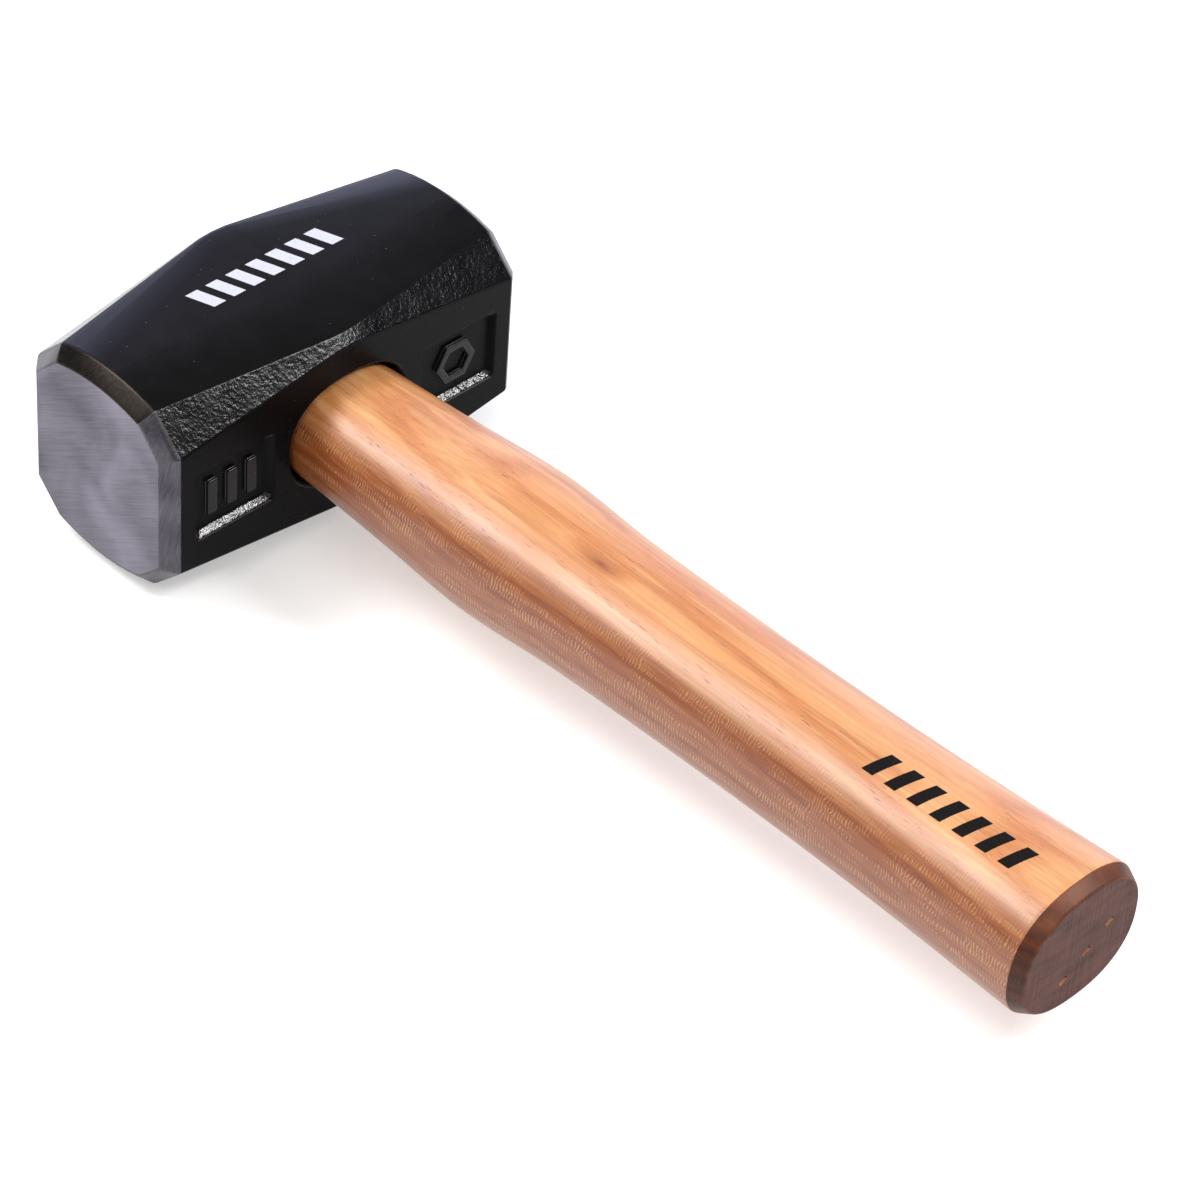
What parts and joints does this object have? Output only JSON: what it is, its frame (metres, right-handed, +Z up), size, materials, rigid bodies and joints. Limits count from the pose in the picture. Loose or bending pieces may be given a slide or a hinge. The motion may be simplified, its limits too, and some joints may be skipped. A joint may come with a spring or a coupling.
{
  "type": "club hammer",
  "caption": "Short-handled club hammer: a forged two-faced steel head with crowned cheeks and chamfered corners, wedged on an oval turned timber handle.",
  "frame": {"origin": "under the centre of the eye, on the plane that touches the lower crowned cheek, where the head lies on a bench", "axes": "+X along the handle from the head to its butt, +Y along the strike axis to the far striking face, +Z up through the cheeks"},
  "size_m": [0.2793, 0.1106, 0.0573],
  "materials": {
    "head_paint": "gloss black paint on forged steel, with bare ground striking faces",
    "handle_wood": "satin varnished hickory",
    "wedge_wood": "sawn hardwood end grain",
    "wedge_steel": "plain steel, hammered flush"
  },
  "bodies": {
    "root": {"head": "head_paint", "handle": "handle_wood", "timber_wedge": "wedge_wood", "steel_wedge_near": "wedge_steel", "steel_wedge_far": "wedge_steel"}
  },
  "joints": []
}
